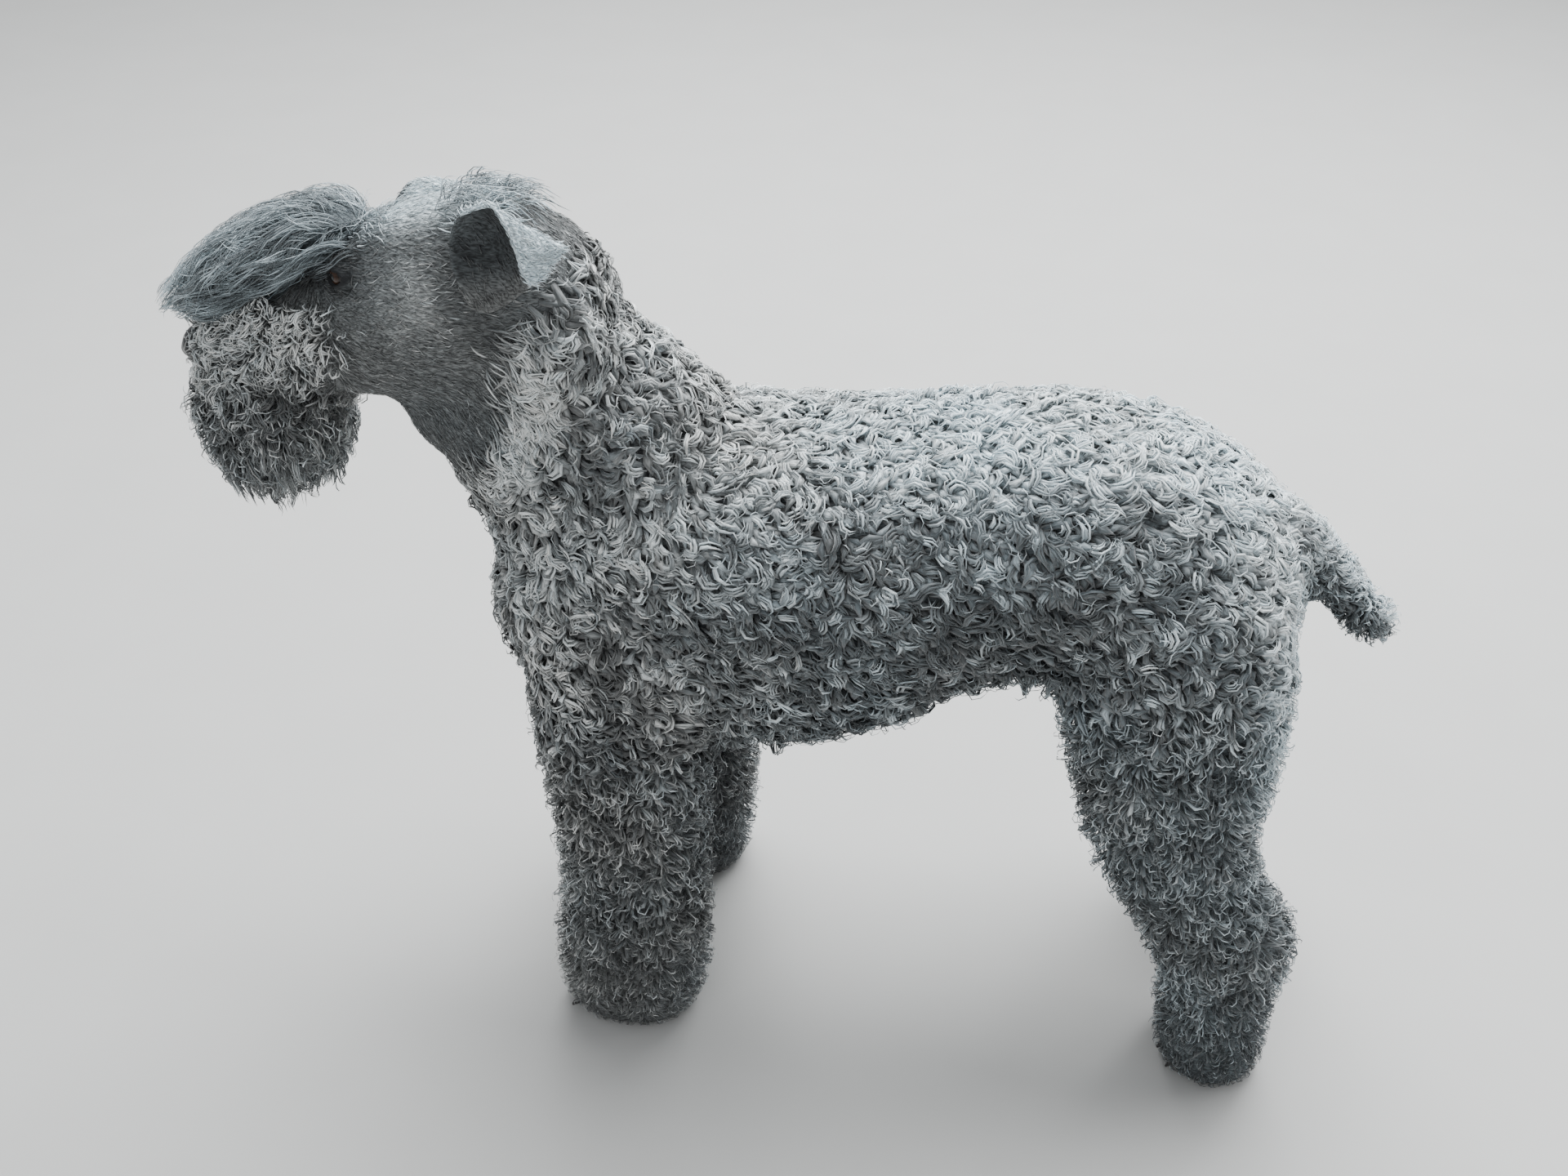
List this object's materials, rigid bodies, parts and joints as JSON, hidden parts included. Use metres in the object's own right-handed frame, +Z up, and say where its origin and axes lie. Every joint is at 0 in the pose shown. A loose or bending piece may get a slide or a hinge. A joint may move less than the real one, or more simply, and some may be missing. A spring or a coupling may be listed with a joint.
{
  "type": "dog",
  "caption": "A standing terrier with a curly blue-grey coat, a long beard and a forelock over the eyes: a still, life-size model.",
  "frame": {"origin": "on the floor, under the middle of the model's bounding box", "axes": "+X towards the tail along the body, +Y to the dog's right, +Z up; the head points along -X"},
  "size_m": [0.7896, 0.2538, 0.6538],
  "materials": {
    "coat": "matte curly hair",
    "face_coat": "matte short hair",
    "beard_coat": "matte curly hair",
    "forelock_coat": "soft wavy hair",
    "ear_coat": "matte short hair",
    "nose_pad": "moist, finely pebbled",
    "eye": "wet gloss"
  },
  "bodies": {
    "root": {"trunk": "coat", "neck": "coat", "head": "face_coat", "beard": "beard_coat", "forelock": "forelock_coat", "nose": "nose_pad", "eye_left": "eye", "eye_right": "eye", "ear_left": "ear_coat", "ear_right": "ear_coat", "tail": "coat", "foreleg_left": "coat", "foreleg_right": "coat", "forepaw_left": "coat", "forepaw_right": "coat", "hindleg_left": "coat", "hindleg_right": "coat", "hindpaw_left": "coat", "hindpaw_right": "coat"}
  },
  "joints": []
}
